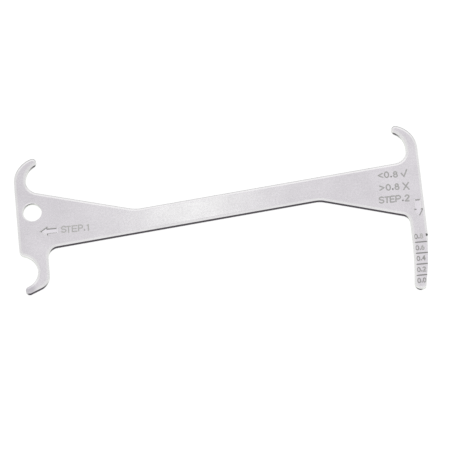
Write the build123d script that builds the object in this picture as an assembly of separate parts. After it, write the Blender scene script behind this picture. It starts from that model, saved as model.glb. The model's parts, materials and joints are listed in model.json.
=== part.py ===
from build123d import *
import os
from math import asin, atan2, cos, degrees, radians, sin, sqrt, tan

# A gauge for the wear of a roller chain, blanked from steel plate as one piece. A notch at the left end
# seats on one roller, and a tongue at the right end drops between the side plates eleven pitches on.
# The tongue's ground edge stops on a roller there, and the mark beside it reads the chain's stretch.
# The plate lies on its back with the marked face up. Lengths are in millimetres, angles in degrees.
# The outline is set out from the middle of the seated roller, with X along the chain.

# The chain that is measured
pitch = 12.7
pitches_measured = 11
roller_diameter = 7.75
stretch_per_mark = 0.002         # share of the measured length

# The plate
plate_thickness = 2.0
edge_round = 0.65                # soft edge that blanking draws round the marked face
hole_diameter = 6.4
hole_break = 0.25                # broken edge of the hole
hole_from_left = 5.55
hole_below_throat = 11.3

# The left end and its notch
left_edge = -1.95
notch_radius = 5.75
notch_corner = 2.45
stem_width = 3.9                 # steel behind the deepest point of the notch
stem_corner = 3.6
lower_hook_reach = 70.0          # how far past the notch's middle the lower hook reaches
lower_hook_tip = 1.32
lower_hook_slope = 22.6
lower_hook_corner = 5.3

# The two upper hooks, which are alike
throat_height = 32.2             # middle of a throat's open upper half
throat_radius = 6.2
left_throat_depth = 3.55         # from the throat's middle down to the corner of the edge below it
right_throat_depth = 5.2
right_throat_corner = 4.5        # the left one fills the whole depth
throat_wall = 4.1                # root of the hook's arm
hook_reach = 63.0
hook_tip = 1.36
hook_outer_radius = 9.15

# The bar and the two tapers that join it to the ends
bar_width = 8.38
bar_start_height = 18.72         # where the bar's upper edge meets the left taper
left_taper_length = 36.55
left_blend = 12.0
right_taper_length = 29.9
right_blend = 9.2

# The right end, its tongue and the scale
tongue_width = 4.1               # at the scale's zero
tongue_root_height = 7.4
tongue_corner = 2.9
tongue_end = -18.8
tongue_end_radius = 2.2
tongue_flare = 20.0              # spread of the blank's outer edge above the round end
flare_corner = 3.0
grinding_start = 0.3
grinding_step = 0.15             # least steel ground off the blanked edge
mark_count = 4
mark_spacing = 3.91
lowest_mark = -14.12
mark_width = 0.45
mark_depth = 0.15

measured_length = pitches_measured * pitch
zero_reach = measured_length - roller_diameter / 2
zero_height = lowest_mark - mark_spacing / 2
seat = roller_diameter / 2       # deepest point of the notch
notch_middle = (seat - notch_radius, 0.0)
stem_edge = seat + stem_width


def around(middle, radius, angle):
    """The point of a circle at an angle."""
    return (middle[0] + radius * cos(radians(angle)), middle[1] + radius * sin(radians(angle)))


def heading(start, finish):
    """The angle of the way from one point to another."""
    return degrees(atan2(finish[1] - start[1], finish[0] - start[0]))


def corner(heading_in, point, heading_out, radius):
    """The arc that rounds a corner between two straight edges of given headings."""
    turn = (heading_out - heading_in + 180) % 360 - 180
    side = 1 if turn > 0 else -1
    start = around(point, -radius * tan(radians(abs(turn) / 2)), heading_in)
    return (around(start, radius, heading_in + 90 * side), radius, heading_in - 90 * side, turn)


def measuring_edge(y):
    """The ground edge's place at a height: its reach grows by one step of stretch at each mark."""
    stretch = measured_length * stretch_per_mark * (y - zero_height) / mark_spacing
    return sqrt((zero_reach + stretch) ** 2 - y**2)


def bar_bottom(x):
    """The bar's lower edge, parallel to the upper one."""
    return bar_start[1] + (x - bar_start[0]) * tan(radians(bar_slope)) - bar_width / cos(radians(bar_slope))


right_edge = measuring_edge(grinding_start) + grinding_step
tongue_reach = zero_reach - tongue_width
left_throat_foot = (left_edge + throat_wall, throat_height - left_throat_depth)
right_throat_foot = (right_edge - throat_wall, throat_height - right_throat_depth)
bar_start = (left_throat_foot[0] + left_taper_length, bar_start_height)
left_taper = heading(bar_start, left_throat_foot)
bar_slope = heading(bar_start, right_throat_foot)
bar_end = (tongue_reach - right_taper_length, bar_bottom(tongue_reach - right_taper_length))
tongue_root = (tongue_reach, tongue_root_height)
right_taper = heading(bar_end, tongue_root)


def upper_hook():
    """Arcs of the left hook from the throat to its outer edge, with the outer edge at x = 0.

    The tip is a full round that touches the throat's circle and the outer arc.
    """
    throat = (throat_wall + throat_radius, throat_height)
    reach = 180 - hook_reach
    tip = around(throat, throat_radius + hook_tip, reach)
    rise = sqrt((hook_outer_radius - hook_tip) ** 2 - (tip[0] - hook_outer_radius) ** 2)
    outer = (hook_outer_radius, tip[1] - rise)
    outer_start = heading(outer, tip)
    return [
        (throat, throat_radius, 180, -hook_reach),
        (tip, hook_tip, reach - 180, outer_start + 180 - reach),
        (outer, hook_outer_radius, outer_start, 180 - outer_start),
    ]


def left_hook():
    """The upper hook at its place on the left end."""
    return [((m[0] + left_edge, m[1]), r, start, sweep) for m, r, start, sweep in upper_hook()]


def right_hook():
    """The upper hook mirrored onto the right end, and so run through the other way round."""
    return [((right_edge - m[0], m[1]), r, 180 - start - sweep, sweep)
            for m, r, start, sweep in reversed(upper_hook())]


def lower_hook():
    """Arcs from the left edge round the notch, over the lower hook's tip and up to the stem."""
    corner_x = left_edge + notch_corner
    corner_y = sqrt((notch_radius + notch_corner) ** 2 - (corner_x - notch_middle[0]) ** 2)
    into_notch = heading((corner_x, corner_y), notch_middle) % 360
    tip = around(notch_middle, notch_radius + lower_hook_tip, -lower_hook_reach)
    underside = around(tip, lower_hook_tip, lower_hook_slope - 90)
    foot = (stem_edge, underside[1] + (stem_edge - underside[0]) * tan(radians(lower_hook_slope)))
    return [
        ((corner_x, corner_y), notch_corner, 180, into_notch - 180),
        (notch_middle, notch_radius, into_notch - 180, 180 - into_notch - lower_hook_reach),
        (tip, lower_hook_tip, 180 - lower_hook_reach, 90 + lower_hook_slope + lower_hook_reach),
        corner(lower_hook_slope, foot, 90, lower_hook_corner),
    ]


def tongue():
    """Arcs from the right taper down the tongue's inner edge, round its end and up the blanked edge."""
    middle_reach = tongue_reach + tongue_end_radius
    swing = degrees(asin((tongue_end + tongue_end_radius) / middle_reach))
    middle = around((0, 0), middle_reach, swing)
    flare = around(middle, tongue_end_radius, -tongue_flare)
    foot = (right_edge, flare[1] + (right_edge - flare[0]) / tan(radians(tongue_flare)))
    return [
        corner(right_taper, tongue_root, -90, tongue_corner),
        ((0, 0), tongue_reach, 0, swing),
        (middle, tongue_end_radius, swing + 180, 180 - swing - tongue_flare),
        corner(90 - tongue_flare, foot, 90, flare_corner),
    ]


def outline():
    """The blank's outline, anticlockwise: a ring of arcs with a straight edge from each to the next."""
    left_throat_corner = left_throat_depth / tan(radians(left_taper - 90) / 2)
    arcs = [
        corner(left_taper, left_throat_foot, 90, left_throat_corner),
        *left_hook(),
        *lower_hook(),
        corner(90, (stem_edge, bar_bottom(stem_edge)), bar_slope, stem_corner),
        corner(bar_slope, bar_end, right_taper, right_blend),
        *tongue(),
        *right_hook(),
        corner(-90, right_throat_foot, 180 + bar_slope, right_throat_corner),
        corner(180 + bar_slope, bar_start, left_taper, left_blend),
    ]
    edges = []
    for (middle, radius, start, sweep), following in zip(arcs, arcs[1:] + arcs[:1]):
        edges.append(CenterArc(middle, radius, start, sweep))
        finish = around(middle, radius, start + sweep)
        onward = around(following[0], following[1], following[2])
        if abs(finish[0] - onward[0]) + abs(finish[1] - onward[1]) > 1e-6:
            edges.append(Line(finish, onward))
    return make_face(edges)


def blank():
    """The plate as it leaves the press, with the edge of the marked face drawn round."""
    plate = extrude(outline(), plate_thickness)
    face = plate.faces().sort_by(Axis.Z)[-1]
    return fillet(face.edges(), edge_round)


def hanging_hole():
    """The hole's bore and its broken upper edge."""
    middle = (left_edge + hole_from_left, throat_height - hole_below_throat)
    bore = Pos(*middle, plate_thickness / 2) * Cylinder(hole_diameter / 2, 2 * plate_thickness)
    rim = Pos(*middle, plate_thickness - hole_break / 2) * Cone(
        hole_diameter / 2, hole_diameter / 2 + hole_break, hole_break)
    return bore + rim


def grinding():
    """What is ground off the tongue to true its measuring edge, from the shoulder down past its end."""
    past = tongue_end - plate_thickness
    clear = right_edge + plate_thickness
    half = (past + grinding_start) / 2
    step = (measuring_edge(grinding_start), grinding_start)
    foot = (measuring_edge(past), past)
    strip = make_face([
        ThreePointArc(step, (measuring_edge(half), half), foot),
        Polyline(foot, (clear, past), (clear, grinding_start), step),
    ])
    return extrude(strip, plate_thickness)


def scale_marks():
    """The cut lines of the scale, from the flat of the face out through the measuring edge."""
    lines = []
    for number in range(mark_count):
        y = lowest_mark + number * mark_spacing
        start = sqrt(tongue_reach**2 - y**2) + edge_round
        length = right_edge - start
        lines.append(Pos(start + length / 2, y, plate_thickness) * Box(length, mark_width, 2 * mark_depth))
    return lines


gauge = blank() - hanging_hole() - grinding() - scale_marks()
box = gauge.bounding_box()
gauge = Pos(-box.center().X, -box.center().Y, 0) * gauge

os.makedirs("parts", exist_ok=True)
export_step(gauge, "parts/gauge_plate.step")
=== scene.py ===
import json

import bmesh
import bpy
import numpy as np
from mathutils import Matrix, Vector

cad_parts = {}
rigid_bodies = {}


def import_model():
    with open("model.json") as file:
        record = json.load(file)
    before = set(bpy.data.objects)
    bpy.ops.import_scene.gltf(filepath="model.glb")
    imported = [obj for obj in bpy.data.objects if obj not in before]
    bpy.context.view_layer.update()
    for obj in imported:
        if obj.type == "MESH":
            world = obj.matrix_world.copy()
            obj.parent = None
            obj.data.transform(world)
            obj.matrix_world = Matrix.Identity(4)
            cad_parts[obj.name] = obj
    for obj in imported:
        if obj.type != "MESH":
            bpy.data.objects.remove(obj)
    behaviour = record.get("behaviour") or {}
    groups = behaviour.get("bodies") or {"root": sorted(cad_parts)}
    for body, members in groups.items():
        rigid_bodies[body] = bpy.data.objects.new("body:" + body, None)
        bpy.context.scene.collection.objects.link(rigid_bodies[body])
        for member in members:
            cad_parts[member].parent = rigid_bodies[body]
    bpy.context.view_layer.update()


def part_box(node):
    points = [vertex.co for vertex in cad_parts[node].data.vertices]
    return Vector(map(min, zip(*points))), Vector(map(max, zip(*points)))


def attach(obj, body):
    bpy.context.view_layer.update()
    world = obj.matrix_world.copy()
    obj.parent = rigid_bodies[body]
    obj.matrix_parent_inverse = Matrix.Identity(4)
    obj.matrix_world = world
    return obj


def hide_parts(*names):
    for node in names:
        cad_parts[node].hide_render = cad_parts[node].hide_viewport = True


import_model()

# The blank of the gauge. It is one plate of 2 mm steel, blanked in a press. The punch draws the edge of the
# marked face round and leaves the back edge sharp. Its outline is a ring of arcs with straight runs between
# them. Lengths are in millimetres from the middle of the chain roller that the notch seats on.

MILLIMETRE = 0.001               # in metres, which Blender counts in

# The sheet, and the edge of its marked face: a round at the wall, then a shallow bevel
plate_thickness = 2.0
round_radius = 0.44
round_points = 8
bevel_width = 0.68
bevel_angle = 22.0
bevel_shares = (0.08, 0.9, 1.0)  # where the bevel's points lie on its width
flat_margin = 0.06               # the first point on the flat of the face

# The chain that the gauge measures
pitch = 12.7
pitches_measured = 11
roller_diameter = 7.75
stretch_per_mark = 0.002         # share of the measured length
mark_spacing = 3.91
lowest_mark = -14.12
measured_length = pitches_measured * pitch
zero_reach = measured_length - roller_diameter / 2
zero_height = lowest_mark - mark_spacing / 2

# The left end and its notch
left_edge = -1.95
seat = roller_diameter / 2       # deepest point of the notch
notch_radius = 5.75
notch_corner = 2.45
notch_middle = (seat - notch_radius, 0.0)
stem_width = 3.9                 # steel behind the deepest point of the notch
stem_edge = seat + stem_width
stem_corner = 3.6
lower_hook_reach = 70.0          # how far past the notch's middle the lower hook reaches
lower_hook_tip = 1.32
lower_hook_slope = 22.6
lower_hook_corner = 5.3

# The two upper hooks, which are alike
throat_height = 32.2             # middle of a throat's open upper half
throat_radius = 6.2
left_throat_depth = 3.55         # from the throat's middle down to the corner of the edge below it
right_throat_depth = 5.2
right_throat_corner = 4.5        # the left one fills the whole depth
throat_wall = 4.1                # root of the hook's arm
hook_reach = 63.0
hook_tip = 1.36
hook_outer_radius = 9.15

# The bar and the two tapers that join it to the ends
bar_width = 8.38
bar_start_height = 18.72         # where the bar's upper edge meets the left taper
left_taper_length = 36.55
left_blend = 12.0
right_taper_length = 29.9
right_blend = 9.2

# The right end and its tongue
tongue_width = 4.1               # at the scale's zero
tongue_root_height = 7.4
tongue_corner = 2.9
tongue_end = -18.8
tongue_end_radius = 2.2
tongue_flare = 20.0              # spread of the blank's outer edge above the round end
flare_corner = 3.0
grinding_start = 0.3
grinding_step = 0.15             # least steel ground off the blanked edge


def around(middle, radius, angle):
    """The point of a circle at an angle."""
    turn = np.radians(angle)
    return middle[0] + radius * np.cos(turn), middle[1] + radius * np.sin(turn)


def heading(start, finish):
    """The angle of the way from one point to another."""
    return np.degrees(np.arctan2(finish[1] - start[1], finish[0] - start[0]))


def corner(heading_in, point, heading_out, radius):
    """The arc that rounds a corner between two straight edges: (middle, radius, start angle, sweep)."""
    turn = (heading_out - heading_in + 180) % 360 - 180
    side = 1 if turn > 0 else -1
    start = around(point, -radius * np.tan(np.radians(abs(turn) / 2)), heading_in)
    return around(start, radius, heading_in + 90 * side), radius, heading_in - 90 * side, turn


def measuring_edge(y):
    """The ground edge's place at a height: its reach grows by one step of stretch at each mark."""
    stretch = measured_length * stretch_per_mark * (y - zero_height) / mark_spacing
    return np.sqrt((zero_reach + stretch) ** 2 - y**2)


right_edge = measuring_edge(grinding_start) + grinding_step
tongue_reach = zero_reach - tongue_width
left_throat_foot = (left_edge + throat_wall, throat_height - left_throat_depth)
right_throat_foot = (right_edge - throat_wall, throat_height - right_throat_depth)
bar_start = (left_throat_foot[0] + left_taper_length, bar_start_height)
left_taper = heading(bar_start, left_throat_foot)
bar_slope = heading(bar_start, right_throat_foot)


def bar_bottom(x):
    """The bar's lower edge, parallel to the upper one."""
    slope = np.radians(bar_slope)
    return bar_start[1] + (x - bar_start[0]) * np.tan(slope) - bar_width / np.cos(slope)


bar_end = (tongue_reach - right_taper_length, bar_bottom(tongue_reach - right_taper_length))
tongue_root = (tongue_reach, tongue_root_height)
right_taper = heading(bar_end, tongue_root)


def upper_hook():
    """Arcs of the left hook from the throat over the full round of its tip to its outer edge at x = 0."""
    throat = (throat_wall + throat_radius, throat_height)
    reach = 180 - hook_reach
    tip = around(throat, throat_radius + hook_tip, reach)
    rise = np.sqrt((hook_outer_radius - hook_tip) ** 2 - (tip[0] - hook_outer_radius) ** 2)
    outer = (hook_outer_radius, tip[1] - rise)
    outer_start = heading(outer, tip)
    return [
        (throat, throat_radius, 180, -hook_reach),
        (tip, hook_tip, reach - 180, outer_start + 180 - reach),
        (outer, hook_outer_radius, outer_start, 180 - outer_start),
    ]


def lower_hook():
    """Arcs from the left edge round the notch, over the lower hook's tip and up to the stem."""
    corner_x = left_edge + notch_corner
    corner_y = np.sqrt((notch_radius + notch_corner) ** 2 - (corner_x - notch_middle[0]) ** 2)
    into_notch = heading((corner_x, corner_y), notch_middle) % 360
    tip = around(notch_middle, notch_radius + lower_hook_tip, -lower_hook_reach)
    underside = around(tip, lower_hook_tip, lower_hook_slope - 90)
    foot = (stem_edge, underside[1] + (stem_edge - underside[0]) * np.tan(np.radians(lower_hook_slope)))
    return [
        ((corner_x, corner_y), notch_corner, 180, into_notch - 180),
        (notch_middle, notch_radius, into_notch - 180, 180 - into_notch - lower_hook_reach),
        (tip, lower_hook_tip, 180 - lower_hook_reach, 90 + lower_hook_slope + lower_hook_reach),
        corner(lower_hook_slope, foot, 90, lower_hook_corner),
    ]


def tongue():
    """Arcs from the right taper down the tongue's inner edge, round its end and up the blanked edge."""
    middle_reach = tongue_reach + tongue_end_radius
    swing = np.degrees(np.arcsin((tongue_end + tongue_end_radius) / middle_reach))
    middle = around((0, 0), middle_reach, swing)
    flare = around(middle, tongue_end_radius, -tongue_flare)
    foot = (right_edge, flare[1] + (right_edge - flare[0]) / np.tan(np.radians(tongue_flare)))
    return [
        corner(right_taper, tongue_root, -90, tongue_corner),
        ((0, 0), tongue_reach, 0, swing),
        (middle, tongue_end_radius, swing + 180, 180 - swing - tongue_flare),
        corner(90 - tongue_flare, foot, 90, flare_corner),
    ]


def outline(arcs, slack=0.002):
    """Points of a ring of arcs and the outward way at each, as two (n, 2) arrays.

    A point is middle + radius * (cos a, sin a), with a evenly spaced over the sweep so that a chord lies
    within the slack of its arc. The way out is (cos a, sin a), turned round where the arc is hollow.
    """
    points, ways = [], []
    for middle, radius, start, sweep in arcs:
        step = np.degrees(2 * np.sqrt(2 * slack / radius))
        angles = np.radians(np.linspace(start, start + sweep, max(3, int(abs(sweep) / step) + 2)))
        ray = np.stack([np.cos(angles), np.sin(angles)], axis=1)
        points.append(np.array(middle) + radius * ray)
        ways.append(np.sign(sweep) * ray)
    points, ways = np.concatenate(points), np.concatenate(ways)
    apart = np.linalg.norm(points - np.roll(points, -1, axis=0), axis=1) > 1e-6
    return points[apart], ways[apart]


def closed_mesh(name, rings, side_material, cap_material):
    """A mesh of (k, n, 3) rings: quads join ring to ring, and the first and last rings are capped.

    The side material is one for all the quads, or one for each point of a ring.
    """
    count, length = rings.shape[:2]
    k, i = np.meshgrid(np.arange(count - 1), np.arange(length), indexing="ij")
    j = (i + 1) % length
    quads = np.stack([k * length + i, k * length + j, (k + 1) * length + j, (k + 1) * length + i], axis=-1)
    ends = [np.arange(length)[::-1], (count - 1) * length + np.arange(length)]
    mesh = bpy.data.meshes.new(name)
    mesh.from_pydata((rings.reshape(-1, 3) * MILLIMETRE).tolist(), [],
                     quads.reshape(-1, 4).tolist() + [end.tolist() for end in ends])
    mesh.polygons.foreach_set("material_index", np.append(
        np.broadcast_to(side_material, (count - 1, length)), [cap_material] * 2))
    mesh.polygons.foreach_set("use_smooth", np.ones(len(mesh.polygons), bool))
    return mesh


def edge_profile():
    """The plate's edge as (drawn in, height) pairs, from the back face up the wall to the flat of the face.

    The round is radius * (1 - sin a) in and radius * cos a up, as its normal's angle a from the vertical
    falls from 90 degrees to the bevel's. The bevel runs on straight, and a close point on each side of its
    upper end keeps the flat of the face flat.
    """
    a = np.radians(np.linspace(90, bevel_angle, round_points))
    rise = bevel_width * np.tan(np.radians(bevel_angle))
    foot = plate_thickness - rise - round_radius * np.cos(a[-1])
    roll = np.stack([round_radius * (1 - np.sin(a)), foot + round_radius * np.cos(a)], axis=1)
    bevel = roll[-1] + np.array(bevel_shares)[:, None] * (bevel_width, rise)
    return np.concatenate([[[0.0, 0.0]], roll, bevel, bevel[-1:] + (flat_margin, 0.0)])


def plate_rings(points, ways, profile):
    """Rings of a plate: its outline drawn in along the ways out by each pair of its edge's profile."""
    flat = points - profile[:, None, :1] * ways
    return np.concatenate([flat, np.broadcast_to(profile[:, None, 1:], (*flat.shape[:2], 1))], axis=2)


left_hook = [((m[0] + left_edge, m[1]), r, start, sweep) for m, r, start, sweep in upper_hook()]
right_hook = [((right_edge - m[0], m[1]), r, 180 - start - sweep, sweep)
              for m, r, start, sweep in reversed(upper_hook())]
left_throat_corner = left_throat_depth / np.tan(np.radians(left_taper - 90) / 2)
blank_points, blank_ways = outline([
    corner(left_taper, left_throat_foot, 90, left_throat_corner),
    *left_hook,
    *lower_hook(),
    corner(90, (stem_edge, bar_bottom(stem_edge)), bar_slope, stem_corner),
    corner(bar_slope, bar_end, right_taper, right_blend),
    *tongue(),
    *right_hook,
    corner(-90, right_throat_foot, 180 + bar_slope, right_throat_corner),
    corner(180 + bar_slope, bar_start, left_taper, left_blend),
])

# The plate lies where its solid lies: the lowest corner of the one is that of the other.
corner_of_solid = np.array(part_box("gauge_plate")[0])[:2] / MILLIMETRE
to_solid = corner_of_solid - blank_points.min(axis=0)

# The plate's finishes, by their places in its list of materials.
FACE, CUT, PRESSED = 0, 1, 2
plate = bpy.data.objects.new("gauge_body", closed_mesh(
    "gauge_body", plate_rings(blank_points + to_solid, blank_ways, edge_profile()), FACE, FACE))
bpy.context.scene.collection.objects.link(plate)

# The hanging hole, punched straight through the left end. Its upper edge is broken with a countersink that
# sits a little to the left of the hole's middle.

hole_diameter = 6.4
hole_from_left = 5.55
hole_below_throat = 11.3
hole_break = 0.25                # width of the broken edge, and how far to the left it sits
hole_break_depth = 0.15
hole_sides = 96
punch_clearance = 1.0            # how far a punch passes each side of the plate
hole_middle = to_solid + (left_edge + hole_from_left, throat_height - hole_below_throat)
through = np.array([-punch_clearance, plate_thickness + punch_clearance])

tools = bpy.data.collections.new("tools")
bpy.context.scene.collection.children.link(tools)


def tool(name, rings, side_material=FACE, cap_material=FACE):
    """A closed cutter of (k, n, 3) rings. What its sides and caps cut gets their finishes."""
    cutter = bpy.data.objects.new(name, closed_mesh(name, rings, side_material, cap_material))
    tools.objects.link(cutter)


def turned(middle, radii, heights):
    """Rings of a turned shape: middle + radius * (cos a, sin a) at each height."""
    a = np.linspace(0, 2 * np.pi, hole_sides, endpoint=False)
    radii, heights = np.array(radii)[:, None], np.array(heights)[:, None]
    across = np.array(middle)[:, None, None] + radii * np.stack([np.cos(a), np.sin(a)])[:, None]
    return np.concatenate([across, np.broadcast_to(heights, across.shape[1:])[None]]).transpose(1, 2, 0)


tool("hole_punch", turned(hole_middle, [hole_diameter / 2] * 2, through))
tool("countersink", turned(
    hole_middle - (hole_break, 0.0), [hole_diameter / 2, hole_diameter / 2 + 2 * hole_break],
    [plate_thickness - hole_break_depth, plate_thickness + hole_break_depth]))

# The measuring edge of the tongue. It is ground straight through the plate, from the shoulder down past the
# tongue's end, so its edge is sharp and its face is bright and flat.

ground_points = 60
down = np.linspace(grinding_start, tongue_end - plate_thickness, ground_points)
ground = np.stack([measuring_edge(down), down], axis=1)
clear = right_edge + plate_thickness
strip = np.concatenate([ground, [[clear, down[-1]], [clear, down[0]]]]) + to_solid
tool("grinding_wheel", np.concatenate([
    np.broadcast_to(strip, (2, *strip.shape)), np.broadcast_to(through[:, None, None], (2, len(strip), 1))],
    axis=2))

# The scale's four cut lines, one for each step of stretch. They are pressed in from the flat of the face out
# through the measuring edge, where a roller stops against them.

mark_count = 4
mark_width = 0.45
mark_depth = 0.15
mark_inset = 0.65                # where a line starts, from the tongue's inner edge


def straight_cut(start, finish, width, depth):
    """Rings of a trough from one point to another, with a flat bottom as wide as half its width.

    Each ring is the trough's profile, as shares of the width to the side and of the depth upwards.
    """
    profile = np.array([[-0.5, 1.0], [-0.5, 0.0], [-0.25, -1.0], [0.25, -1.0], [0.5, 0.0], [0.5, 1.0]])
    ends = np.array([start, finish])
    way = (ends[1] - ends[0]) / np.linalg.norm(ends[1] - ends[0])
    side = np.array([-way[1], way[0]])
    flat = ends[:, None] + profile[:, :1] * width * side
    height = np.broadcast_to(plate_thickness + profile[:, 1:] * depth, (2, len(profile), 1))
    return np.concatenate([flat, height], axis=2)


for number in range(mark_count):
    y = lowest_mark + number * mark_spacing
    start = np.sqrt(tongue_reach**2 - y**2) + mark_inset
    tool("mark_cutter", straight_cut(to_solid + (start, y), to_solid + (clear, y), mark_width, mark_depth),
         CUT, CUT)

# The relief at the shoulder, where the grinding ends. It is a short deep nick in the edge of the face, which
# lets the wheel run out.

relief_start = 136.35
relief_height = 0.05
relief_width = 1.05
relief_depth = 0.5
# Its sides take the stamped finish, which is painted dark deep down as shade.
tool("relief_cutter", straight_cut(
    to_solid + (relief_start, relief_height), to_solid + (clear, relief_height), relief_width, relief_depth),
    CUT, CUT)

# The signs stamped beside the scale and on the two ends: plain numerals, a tick and a cross, and the words
# for the two steps of a reading. A letter punch leaves a shallow round-bottomed groove.

# Each stroke lies in a box of one by one: a line is (x, y, x, y), and part of an ellipse is
# (middle x, middle y, half width, half height, start angle, sweep).
signs = {
    "0": [(0.5, 0.5, 0.5, 0.5, 0, 180), (0.5, 0.5, 0.5, 0.5, 180, 180)],
    "1": [(0.5, 0, 0.5, 1), (0.1, 0.84, 0.5, 1)],
    "2": [(0.5, 0.72, 0.48, 0.28, 165, -190), (0.96, 0.62, 0.02, 0), (0.02, 0, 1, 0)],
    "4": [(0.75, 0, 0.75, 1), (0.75, 1, 0, 0.32), (0, 0.32, 1, 0.32)],
    "6": [(0.5, 0.3, 0.48, 0.3, 0, 180), (0.5, 0.3, 0.48, 0.3, 180, 180), (1.02, 0.3, 1.0, 0.7, 180, -62)],
    "8": [(0.5, 0.76, 0.4, 0.24, 0, 180), (0.5, 0.76, 0.4, 0.24, 180, 180),
          (0.5, 0.26, 0.5, 0.27, 0, 180), (0.5, 0.26, 0.5, 0.27, 180, 180)],
    "<": [(0, 0.55, 1, 1), (0, 0.55, 1, 0)],
    ">": [(1, 0.52, 0, 1), (1, 0.52, 0, 0)],
    ".": [(0.5, 0, 0.5, 0.05)],
    "S": [(0.5, 0.75, 0.48, 0.25, 25, 245), (0.5, 0.25, 0.5, 0.25, 90, -245)],
    "T": [(0, 1, 1, 1), (0.5, 1, 0.5, 0)],
    "E": [(0, 1, 1, 1), (0, 0, 1, 0), (0, 0.5, 0.85, 0.5), (0, 0, 0, 1)],
    "P": [(0, 0, 0, 1), (0, 1, 0.5, 1), (0, 0.45, 0.5, 0.45), (0.5, 0.725, 0.5, 0.275, 90, -180)],
    "tick": [(0, 0.52, 0.4, 0), (0.4, 0, 1, 1)],
    "cross": [(0, 1, 1, 0), (0, 0, 1, 1)],
}
degrees_a_point = 12             # along part of an ellipse
punch_sides = 20
punch_end_rings = 5
punch_end_angle = 86             # degrees, where the end's smallest ring is
dot_wider, dot_deeper = 1.3, 1.6


def stroke_path(stroke):
    """Points of a stroke in its box: both ends of a line, or points round its part of an ellipse."""
    if len(stroke) == 4:
        return np.array([stroke[:2], stroke[2:]], float)
    x, y, across, up, start, sweep = stroke
    angles = np.radians(np.linspace(start, start + sweep, max(5, int(abs(sweep) / degrees_a_point))))
    return np.stack([x + across * np.cos(angles), y + up * np.sin(angles)], axis=1)


def groove(path, width, depth):
    """Rings of a round bar along a path, which sinks into the face by the depth.

    The bar's radius is (width^2 / 4 + depth^2) / (2 * depth), so it meets the face in the width.
    Beyond each end of the path, the rings close to a half ball: radius * cos t, at radius * sin t on.
    """
    radius = (width**2 / 4 + depth**2) / (2 * depth)
    height = plate_thickness - depth + radius
    way = np.gradient(path, axis=0)
    way /= np.linalg.norm(way, axis=1, keepdims=True)
    t = np.radians(np.linspace(punch_end_angle, 0, punch_end_rings))
    inner = len(path) - 2
    sizes = np.concatenate([np.cos(t), np.ones(inner), np.cos(t[::-1])])
    shift = np.concatenate([-np.sin(t), np.zeros(inner), np.sin(t[::-1])])
    which = np.concatenate([np.zeros(len(t), int), np.arange(1, inner + 1), np.full(len(t), inner + 1)])
    middle = path[which] + radius * shift[:, None] * way[which]
    side = np.stack([-way[which][:, 1], way[which][:, 0]], axis=1)
    a = np.linspace(0, 2 * np.pi, punch_sides, endpoint=False)
    flat = middle[:, None] + radius * sizes[:, None, None] * np.cos(a)[None, :, None] * side[:, None]
    high = height + radius * sizes[:, None] * np.sin(a)
    return np.concatenate([flat, high[..., None]], axis=2)


def stamp(sign, left, foot, width, height, lean=0.0, stroke_width=0.46, stroke_depth=0.12):
    """Grooves of a sign in the box with that lower left corner. The lean pushes its top to the right."""
    if sign == ".":
        stroke_width, stroke_depth = dot_wider * stroke_width, dot_deeper * stroke_depth
    for stroke in signs[sign]:
        x, y = stroke_path(stroke).T
        place = np.stack([left + width * x + lean * height * y, foot + height * y], axis=1)
        tool("letter_punch", groove(place, stroke_width, stroke_depth), CUT, CUT)


# The two verdicts, then the words for the second and the first step. Each sign has its lower left corner, in
# millimetres from the middle of the gauge, and its width and height.
for placed in (
        ("<", 54.97, 11.2, 1.5, 1.42), ("0", 57.13, 11.02, 1.4, 1.98), (".", 58.85, 11.15, 1.0, 1.0),
        ("8", 60.22, 10.9, 1.25, 1.92), ("tick", 62.94, 10.78, 1.96, 2.44),
        (">", 54.99, 6.65, 1.47, 1.52), ("0", 57.23, 6.43, 1.4, 1.98), (".", 58.9, 6.64, 1.0, 1.0),
        ("8", 60.27, 6.42, 1.25, 1.96), ("cross", 63.08, 6.1, 1.86, 2.42)):
    stamp(*placed)
for placed in (
        ("S", 54.28, 2.05, 1.5, 2.1), ("T", 56.25, 1.95, 1.35, 2.05), ("E", 58.05, 2.05, 1.4, 2.05),
        ("P", 59.98, 2.0, 1.55, 2.12), (".", 61.9, 2.26, 1.0, 1.0), ("2", 63.15, 1.95, 1.3, 2.12)):
    stamp(*placed, lean=0.09)
for placed in (
        ("S", -54.65, 2.0, 1.55, 2.05), ("T", -52.85, 1.75, 1.25, 2.1), ("E", -50.95, 1.9, 1.6, 2.02),
        ("P", -48.8, 1.95, 1.35, 2.05), (".", -47.29, 2.13, 1.0, 1.0), ("1", -45.95, 1.85, 1.0, 2.08)):
    stamp(*placed, lean=0.04, stroke_depth=0.09)

# The scale's numbers. Each box has its left side and foot from the number's place, its width and height.
digit_height = 1.5
digit_stroke, digit_depth = 0.38, 0.13
point_stroke, point_depth = 0.34, 0.1
zero_box = (-0.46, -0.75, 0.96, digit_height)
point_box = (0.47, -0.62, 1.0, 1.0)
last_box = (1.45, -0.75, 0.86, digit_height)

# From the top down: the last digit, the number's place, and the last digit's depth, which is uneven.
for digit, x, y, last_depth in (
        ("8", 65.32, -11.05, 0.08), ("6", 65.33, -15.1, 0.1), ("4", 65.25, -18.9, 0.14),
        ("2", 64.95, -22.85, 0.12), ("0", 64.62, -26.72, 0.13)):
    for sign, (left, foot, width, height), stroke, depth in (
            ("0", zero_box, digit_stroke, digit_depth), (".", point_box, point_stroke, point_depth),
            (digit, last_box, digit_stroke, last_depth)):
        stamp(sign, x + left, y + foot, width, height, stroke_width=stroke, stroke_depth=depth)

# The two sunk arrows, pressed in with a flat-ended punch. One points to the roller notch and one down the
# tongue. Their floor is flat and their walls slope.

arrow_length = 6.3
arrow_shaft = 2.05
arrow_head = 3.75
arrow_head_length = 3.0
arrow_depth = 0.27
arrow_slope = 0.4                # how far a wall runs out on its way up


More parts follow.
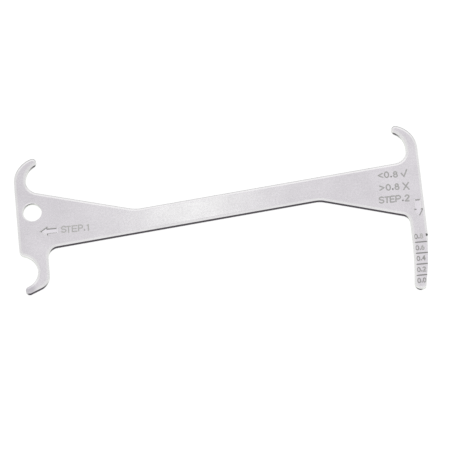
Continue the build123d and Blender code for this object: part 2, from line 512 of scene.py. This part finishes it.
def arrow(tip, turn, grown):
    """The outline of an arrow from its tip, with every edge moved out by one amount.

    A corner moves by (a + b) / (1 + a . b) times the amount, where a and b are its two edges' ways out.
    """
    half, wide = arrow_shaft / 2, arrow_head / 2
    points = np.array([[0, 0], [arrow_head_length, -wide], [arrow_head_length, -half], [arrow_length, -half],
                       [arrow_length, half], [arrow_head_length, half], [arrow_head_length, wide]])
    edge = np.roll(points, -1, axis=0) - points
    edge /= np.linalg.norm(edge, axis=1, keepdims=True)
    out = np.stack([edge[:, 1], -edge[:, 0]], axis=1)
    before = np.roll(out, 1, axis=0)
    points += grown * (out + before) / (1 + np.sum(out * before, axis=1, keepdims=True))
    c, s = np.cos(np.radians(turn)), np.sin(np.radians(turn))
    return np.array(tip) + points @ np.array([[c, s], [-s, c]])


# Each arrow has its tip, its turn, and the finish of each of its seven walls, picked by the way the wall
# faces
# the light: the dark stamped finish paints shade on it, and the face's and the floor's finishes leave it
# light.
for tip, turn, walls in (((-62.25, 2.85), 0, (FACE, CUT, FACE, PRESSED, CUT, CUT, CUT)),
                         ((67.4, -4.05), 90, (CUT, CUT, FACE, CUT, PRESSED, CUT, PRESSED))):
    tool("arrow_punch", np.stack([
        np.column_stack([arrow(tip, turn, side * arrow_slope),
                         np.full(len(walls), plate_thickness + side * arrow_depth)])
        for side in (-1, 1)]), walls, PRESSED)

# The plating, which covers all of the steel: satin nickel, a grey metal with a fine grain, soft clouds and a
# few faint slanting scratches. The round edge and the walls that are not dark have a painted highlight, and
# the outermost rim a grey painted shade. Where the press sheared the wall below the round, the steel is dark
# and rough with upright drag lines. That dark is partly painted shade: it lies only on walls that face up or
# down the gauge and on the hole's upper wall, and not in the roller notch or along the ground edge.

# Colours of the plating, of its painted highlight and rim shade, and of the sheared steel, whose dark is
# partly painted shade.
face_pale = (0.802, 0.772, 0.810, 1)
face_dark = (0.602, 0.578, 0.611, 1)
edge_highlight = (0.92, 0.95, 0.89, 1)
rim_shade_colour = (0.38, 0.38, 0.38, 1)
hook_tip_grey = (0.47, 0.45, 0.49, 1)
# The sheared wall's dark, which is partly painted shade
sheared_shade_black = (0.029, 0.022, 0.032, 1)
sheared_shade_grey = (0.089, 0.075, 0.093, 1)
grazing_tint = (0.65, 0.65, 0.65, 1)

# Patterns, with their scales in cells a metre, and how much each one changes the surface.
grain_scale = 1500.0
grain_height = 0.03              # millimetres, at full strength
grain_strength = 0.10
cloud_scale = 130.0
cloud_share = 0.65
scratch_turn = -38
scratch_scale = (60, 2600, 1)
scratch_peaks = (0.64, 0.76)
scratch_depth = 0.6
drag_scale = (3200, 3200, 240)
plating_roughness = 0.155
cloud_roughness, scratch_roughness, sheared_roughness = 0.03, 0.05, 0.15

# How much of a colour goes over the one below it.
# Painted highlight on the bevel and the round
bevel_highlight, round_highlight = 0.28, 0.6
# Painted shade on the outermost rim, more on the hooks
rim_shade, hooks_shade = 0.2, 0.6
hook_tip_share = 0.7
face_lift, pale_share, fade_share = 0.18, 0.16, 0.28

# Where the finish changes: each pair is where a change starts and where it is whole, in millimetres from the
# middle of the back face or of what it surrounds. A lean is a share of the surface's way out.
wall_top = (1.57, 1.71)          # height where the dark wall ends in the round
# Heights below which the round and the bevel have their painted highlight
round_foot = (1.45, 1.65)
bevel_top = (1.94, 1.99)
wall_lean = (0.37, 0.88)
hooks_from = (18.5, 20.5)        # up the gauge
hooks_lean = 0.08                # how much more a wall on the hooks leans before it is dark
# Around the roller notch, where the wall has no painted shade
notch_unshaded = (7.6, 8.3)         # from the notch's middle
hole_surround = (4.0, 4.2)       # from the hole's middle
# Painted shade on the hole's upper wall: its height and its leans
hole_shade_height = (0.7, 1.2)
hole_right_lean = (-0.45, -0.10)
hole_down_lean = (0.3, 0.6)
ground_from, ground_below = (65.0, 65.8), (-22.0, -18.0)
tip_from, tip_below = (60.0, 61.0), (-27.5, -25.5)
tip_wall_drop = 0.4              # how much lower the dark wall stays at the tongue's tip
hook_tip_spread = (0.8, 3.4)        # from the middle of the lower hook's tip
# Where the rim's painted shade lies
rim_height = (1.72, 1.82)
rim_up_lean = (0.1, 0.4)
pale_from = (50.0, 60.0)         # along the gauge
left_from = (-62.0, -50.0)
left_height = (-26.0, 26.0)      # up the gauge, where the left end grows darker


class Socket:
    """A node socket. Arithmetic on sockets and numbers adds the Math nodes for it."""

    def __init__(self, tree, socket=None):
        self.tree, self.socket = tree, socket

    def node(self, kind, settings=(), sockets=(), output=0):
        """A new node of a kind: its settings come first, then the values or links of its sockets."""
        made = self.tree.nodes.new(kind)
        for name, value in dict(settings).items():
            setattr(made, name, value)
        for name, value in dict(sockets).items():
            if isinstance(value, Socket):
                self.tree.links.new(value.socket, made.inputs[name])
            else:
                made.inputs[name].default_value = value
        return Socket(self.tree, made.outputs[output] if len(made.outputs) else None)

    def other(self, output):
        """Another output of the same node."""
        return Socket(self.tree, self.socket.node.outputs[output])

    def maths(self, operation, first, second=0.0):
        """A Math node of one or two values."""
        return self.node("ShaderNodeMath", {"operation": operation}, {0: first, 1: second})

    def __add__(self, other):
        return self.maths("ADD", self, other)

    def __sub__(self, other):
        return self.maths("SUBTRACT", self, other)

    def __rsub__(self, other):
        return self.maths("SUBTRACT", other, self)

    def __mul__(self, other):
        return self.maths("MULTIPLY", self, other)

    def __neg__(self):
        return self.maths("MULTIPLY", self, -1.0)

    def __abs__(self):
        return self.maths("ABSOLUTE", self)

    __radd__, __rmul__ = __add__, __mul__


def new_finish(name):
    """A new material and the socket that its nodes start from."""
    material = bpy.data.materials.new(name)
    material.use_nodes = True
    material.node_tree.nodes.clear()
    return material, Socket(material.node_tree)


def smooth_step(value, low, high):
    """From 0 to 1 as the value goes from low to high, level at both ends."""
    return value.node("ShaderNodeMapRange", {"interpolation_type": "SMOOTHSTEP"},
                      {"Value": value, "From Min": low, "From Max": high})


def past(place, change):
    """From 0 to 1 as a place or height, in metres, goes through a change that is in millimetres."""
    return smooth_step(place, MILLIMETRE * change[0], MILLIMETRE * change[1])


def noise(place, scale, detail, roughness, dimensions="3D"):
    """Soft noise between 0 and 1."""
    return place.node("ShaderNodeTexNoise", {"noise_dimensions": dimensions},
                      {"Vector": place, "Scale": scale, "Detail": detail, "Roughness": roughness})


def mixed(share, first, second):
    """The first colour where the share is 0, and the second where it is 1."""
    return share.node("ShaderNodeMix", {"data_type": "RGBA"}, {0: share, 6: first, 7: second}, output=2)


def plated_steel():
    """The plating of the face, a painted highlight on the round edge, and the dark of the sheared wall,
    which is partly painted shade.

    Each is a mask from 0 to 1, a product of smooth steps in height, place and the surface's way out.
    """
    material, start = new_finish("plated_steel")
    place = start.node("ShaderNodeTexCoord", output="Object")
    along = start.node("ShaderNodeSeparateXYZ", sockets={"Vector": place})
    up, height = along.other("Y"), along.other("Z")
    right_lean = start.node("ShaderNodeSeparateXYZ", sockets={"Vector": place.other("Normal")})
    up_lean = right_lean.other("Y")
    plan = start.node("ShaderNodeVectorMath", {"operation": "MULTIPLY"}, {0: place, 1: (1, 1, 0)})

    def away(middle, change):
        """From 0 to 1 as the way from a point of the plan goes through a change."""
        distance = start.node("ShaderNodeVectorMath", {"operation": "DISTANCE"}, {
            0: plan, 1: tuple(MILLIMETRE * middle) + (0.0,)}, output="Value")
        return past(distance, change)

    # The sheared wall is dark, partly as rough sheared steel and partly as painted shade: only where it faces
    # up or down the gauge, and on the upper wall in the hole.
    hooks = past(up, hooks_from)
    ground_edge = past(along, ground_from) * (1 - past(up, ground_below))
    tip = past(along, tip_from) * (1 - past(up, tip_below))
    below_round = 1 - past(height + MILLIMETRE * tip_wall_drop * tip, wall_top)
    faces_out = smooth_step(abs(up_lean) - hooks_lean * hooks, *wall_lean)
    # Painted shade: the hole's upper wall is dark above a height.
    hole_shade = smooth_step(right_lean, *hole_right_lean) * smooth_step(-up_lean, *hole_down_lean) * past(
        height, hole_shade_height)
    off_hole = away(hole_middle, hole_surround)
    sheared_and_shade = below_round * faces_out * away(to_solid + notch_middle, notch_unshaded) * (1 - ground_edge) * (
        off_hole + (1 - off_hole) * hole_shade)

    # Painted highlight: the bevel, the round and the walls that are not dark are paler. Painted shade: the
    # outermost rim is grey where it faces up the gauge, most of all on the hooks. The tip of the lower hook
    # is slightly darker.
    painted_highlight = bevel_highlight * (1 - past(height, bevel_top)) + round_highlight * (1 - past(height, round_foot))
    # Painted shade on the rim
    painted_rim_shade = (rim_shade + hooks_shade * hooks) * smooth_step(up_lean, *rim_up_lean) * (
        1 - past(height, rim_height))
    # A slightly darker grey at the tip of the lower hook
    lower_tip = lower_hook()[2][0]
    hook_tip_darkening = 1 - away(to_solid + lower_tip, hook_tip_spread)

    # The face has a grain and soft clouds. It is paler at the right end, and darker up the left end.
    grain = noise(place, grain_scale, detail=3.0, roughness=0.6)
    cloud = noise(place, cloud_scale, detail=2.0, roughness=0.5)
    pale_end = past(along, pale_from)
    left_fade = (past(up, left_height) - 0.5) * (1 - past(along, left_from))
    face = mixed(grain + cloud_share * cloud - face_lift - pale_share * pale_end + fade_share * left_fade,
                 face_pale, face_dark)

    slanting = start.node("ShaderNodeMapping", sockets={
        "Vector": place, "Rotation": (0, 0, np.radians(scratch_turn)), "Scale": scratch_scale})
    streaks = noise(slanting, 1.0, detail=2.0, roughness=0.5, dimensions="2D")
    scratches = smooth_step(streaks, *scratch_peaks)
    upright = start.node("ShaderNodeMapping", sockets={"Vector": place, "Scale": drag_scale})
    drag = noise(upright, 1.0, detail=2.0, roughness=0.6)

    rim = mixed(painted_rim_shade, mixed(painted_highlight, face, edge_highlight), rim_shade_colour)
    plating = mixed(hook_tip_share * hook_tip_darkening, rim, hook_tip_grey)
    relief = start.node("ShaderNodeBump", sockets={
        "Strength": grain_strength, "Distance": grain_height * MILLIMETRE,
        "Height": grain - scratch_depth * scratches + sheared_and_shade * drag})
    surface = start.node("ShaderNodeBsdfPrincipled", sockets={
        "Base Color": mixed(sheared_and_shade, plating, mixed(drag, sheared_shade_black, sheared_shade_grey)), "Metallic": 1.0,
        "Roughness": plating_roughness + cloud_roughness * cloud + scratch_roughness * scratches
        + sheared_roughness * sheared_and_shade, "Specular Tint": grazing_tint, "Normal": relief})
    start.node("ShaderNodeOutputMaterial", sockets={"Surface": surface})
    return material


# What the punches struck. The grooves and some of the arrows' walls are dull steel, with painted shade that
# is dark deep down. The arrows' floors stay plated and are a little paler than the face, with a lighter
# painted shade deep down.
# Painted shade: each finish is darker deep down than level with the face
groove_deep_shade, groove_level = (0.14, 0.14, 0.14, 1), (0.54, 0.535, 0.525, 1)
pressed_deep_shade, pressed_level = (0.745, 0.713, 0.76, 1), (0.84, 0.82, 0.85, 1)
groove_height = (1.70, 2.02)
struck_grain_scale = 3000.0
level_share, level_speckle = 0.75, 0.5
struck_roughness, roughness_speckle = 0.35, 0.1


def struck_steel(name, deep, level):
    """The sides of what a punch struck, with painted shade: one grey deep down, and another level
    with the face.
    """
    material, start = new_finish(name)
    place = start.node("ShaderNodeTexCoord", output="Object")
    grain = noise(place, struck_grain_scale, detail=2.0, roughness=0.6)
    height = start.node("ShaderNodeSeparateXYZ", sockets={"Vector": place}, output="Z")
    # Painted shade, lighter towards the face, speckled by the grain
    levelness = past(height, groove_height) * (level_share + level_speckle * grain)
    surface = start.node("ShaderNodeBsdfPrincipled", sockets={
        "Base Color": mixed(levelness, deep, level), "Metallic": 1.0,
        "Roughness": struck_roughness + roughness_speckle * grain})
    start.node("ShaderNodeOutputMaterial", sockets={"Surface": surface})
    return material


finishes = [plated_steel(), struck_steel("stamped_steel", groove_deep_shade, groove_level),
            struck_steel("pressed_steel", pressed_deep_shade, pressed_level)]
for piece in (plate, *tools.objects):
    for finish in finishes:
        piece.data.materials.append(finish)

# The finished plate. All the cutters are taken out of the blank at once, and what each has cut keeps that
# cutter's finish. Points that fall on one another are then merged, and the shading is kept crisp at edges.

same_point = 0.0001              # millimetres apart
crisp_edge = 28                  # degrees between two faces
flat_face_weight = 50

cutting = plate.modifiers.new("cutting", "BOOLEAN")
cutting.operation = "DIFFERENCE"
cutting.operand_type = "COLLECTION"
cutting.collection = tools
cutting.solver = "MANIFOLD"
cut_plate = bpy.data.meshes.new_from_object(plate.evaluated_get(bpy.context.evaluated_depsgraph_get()))
clean = bmesh.new()
clean.from_mesh(cut_plate)
bmesh.ops.remove_doubles(clean, verts=clean.verts, dist=same_point * MILLIMETRE)
clean.to_mesh(cut_plate)
clean.free()
plate.modifiers.clear()
plate.data = cut_plate
for cutter in list(tools.objects):
    bpy.data.objects.remove(cutter)
bpy.data.collections.remove(tools)
cut_plate.set_sharp_from_angle(angle=np.radians(crisp_edge))
shading = plate.modifiers.new("shading", "WEIGHTED_NORMAL")
shading.keep_sharp = True
shading.weight = flat_face_weight

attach(plate, "root")
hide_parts("gauge_plate")

# The plain pale floor that the gauge lies on. It shows white to the camera and in the steel, and keeps the
# gauge's shadow. Lengths are in metres from here on.

floor_half = 3.0
floor_grey = (0.25, 0.25, 0.25, 1)
floor_glow = 0.85


def pale_floor():
    """A floor that is white to the camera and to reflections, and plain grey to the other light."""
    material, start = new_finish("pale_floor")
    rays = start.node("ShaderNodeLightPath")
    seen = start.maths("MAXIMUM", rays.other("Is Camera Ray"), start.maths(
        "MAXIMUM", rays.other("Is Glossy Ray"), rays.other("Is Transmission Ray")))
    cloth = start.node("ShaderNodeBsdfDiffuse", sockets={"Color": floor_grey})
    glow = start.node("ShaderNodeEmission", sockets={"Color": (1, 1, 1, 1), "Strength": floor_glow * seen})
    both = start.node("ShaderNodeAddShader", sockets={0: cloth, 1: glow})
    start.node("ShaderNodeOutputMaterial", sockets={"Surface": both})
    return material


floor_mesh = bpy.data.meshes.new("floor")
floor_mesh.from_pydata([(-floor_half, -floor_half, 0), (floor_half, -floor_half, 0),
                        (floor_half, floor_half, 0), (-floor_half, floor_half, 0)], [], [(0, 1, 2, 3)])
floor_mesh.materials.append(pale_floor())
floor = bpy.data.objects.new("floor", floor_mesh)
bpy.context.scene.collection.objects.link(floor)

# The studio: a pale room, with a brighter strip high at the back, a faint glow before the gauge and a darker
# wall at the front, and one long soft box overhead. The camera sees the room as white.

# Brightness of the room, and what its ceiling and strips add or take.
room_level = 1.02
ceiling_loss = 0.05
back_gain = 0.19
fore_gain = 0.22
front_loss = 0.6

# Where they start and are whole, as shares of the way to the back, to the front or up.
ceiling_rise = (0.1, 0.9)
back_start, back_foot, back_top = (0.50, 0.80), (0.15, 0.40), (0.55, 0.75)
fore_start, fore_end = (0.38, 0.55), (0.72, 0.82)
front_start = (0.80, 0.93)

world = bpy.data.worlds.new("room")
world.use_nodes = True
world.node_tree.nodes.clear()
room = Socket(world.node_tree)
camera_ray = room.node("ShaderNodeLightPath", output="Is Camera Ray")
outward = room.node("ShaderNodeTexCoord", output="Generated")
rise = room.node("ShaderNodeSeparateXYZ", sockets={"Vector": outward}, output="Z")
backward = rise.other("Y")
front = smooth_step(-backward, *front_start)
fore = smooth_step(-backward, *fore_start) * (1 - smooth_step(-backward, *fore_end))
back = smooth_step(backward, *back_start) * smooth_step(rise, *back_foot) * (1 - smooth_step(rise, *back_top))
ceiling = smooth_step(rise, *ceiling_rise)
light = (room_level - ceiling_loss * ceiling + back_gain * back + fore_gain * fore) * (1 - front_loss * front)
air = room.node("ShaderNodeBackground", sockets={
    "Color": (1, 1, 1, 1), "Strength": camera_ray + (1 - camera_ray) * light})
room.node("ShaderNodeOutputWorld", sockets={"Surface": air})
bpy.context.scene.world = world

soft_box_place = Vector((0.002, 0.17, 0.52))
soft_box_target = Vector((0.002, 0.0, 0.0))
soft_box = bpy.data.lights.new("overhead_box", "AREA")
soft_box.shape, soft_box.size, soft_box.size_y = "RECTANGLE", 0.033, 0.35
soft_box.energy, soft_box.color = 0.0272, (0.89, 1.0, 0.84)
stand = bpy.data.objects.new("overhead_box", soft_box)
stand.location = soft_box_place
stand.rotation_euler = (soft_box_target - soft_box_place).to_track_quat("-Z", "Y").to_euler()
bpy.context.scene.collection.objects.link(stand)

# The camera, which looks down on the face from a little to the left of the front, through a long lens from
# about a metre away.

aim = Vector((0.00108, -0.00008, 0.0))
azimuth, elevation = np.radians(5.5), np.radians(72.0)
camera_distance = 1.0928
look = Vector((np.sin(azimuth) * np.cos(elevation), np.cos(azimuth) * np.cos(elevation), -np.sin(elevation)))
lens = bpy.data.cameras.new("camera")
lens.lens = 256.0
lens.clip_start = 0.01
camera = bpy.data.objects.new("camera", lens)
camera.location = aim - camera_distance * look
camera.rotation_euler = look.to_track_quat("-Z", "Y").to_euler()
bpy.context.scene.collection.objects.link(camera)
bpy.context.scene.camera = camera
bpy.context.scene.view_settings.view_transform = "Standard"

bpy.context.view_layer.update()
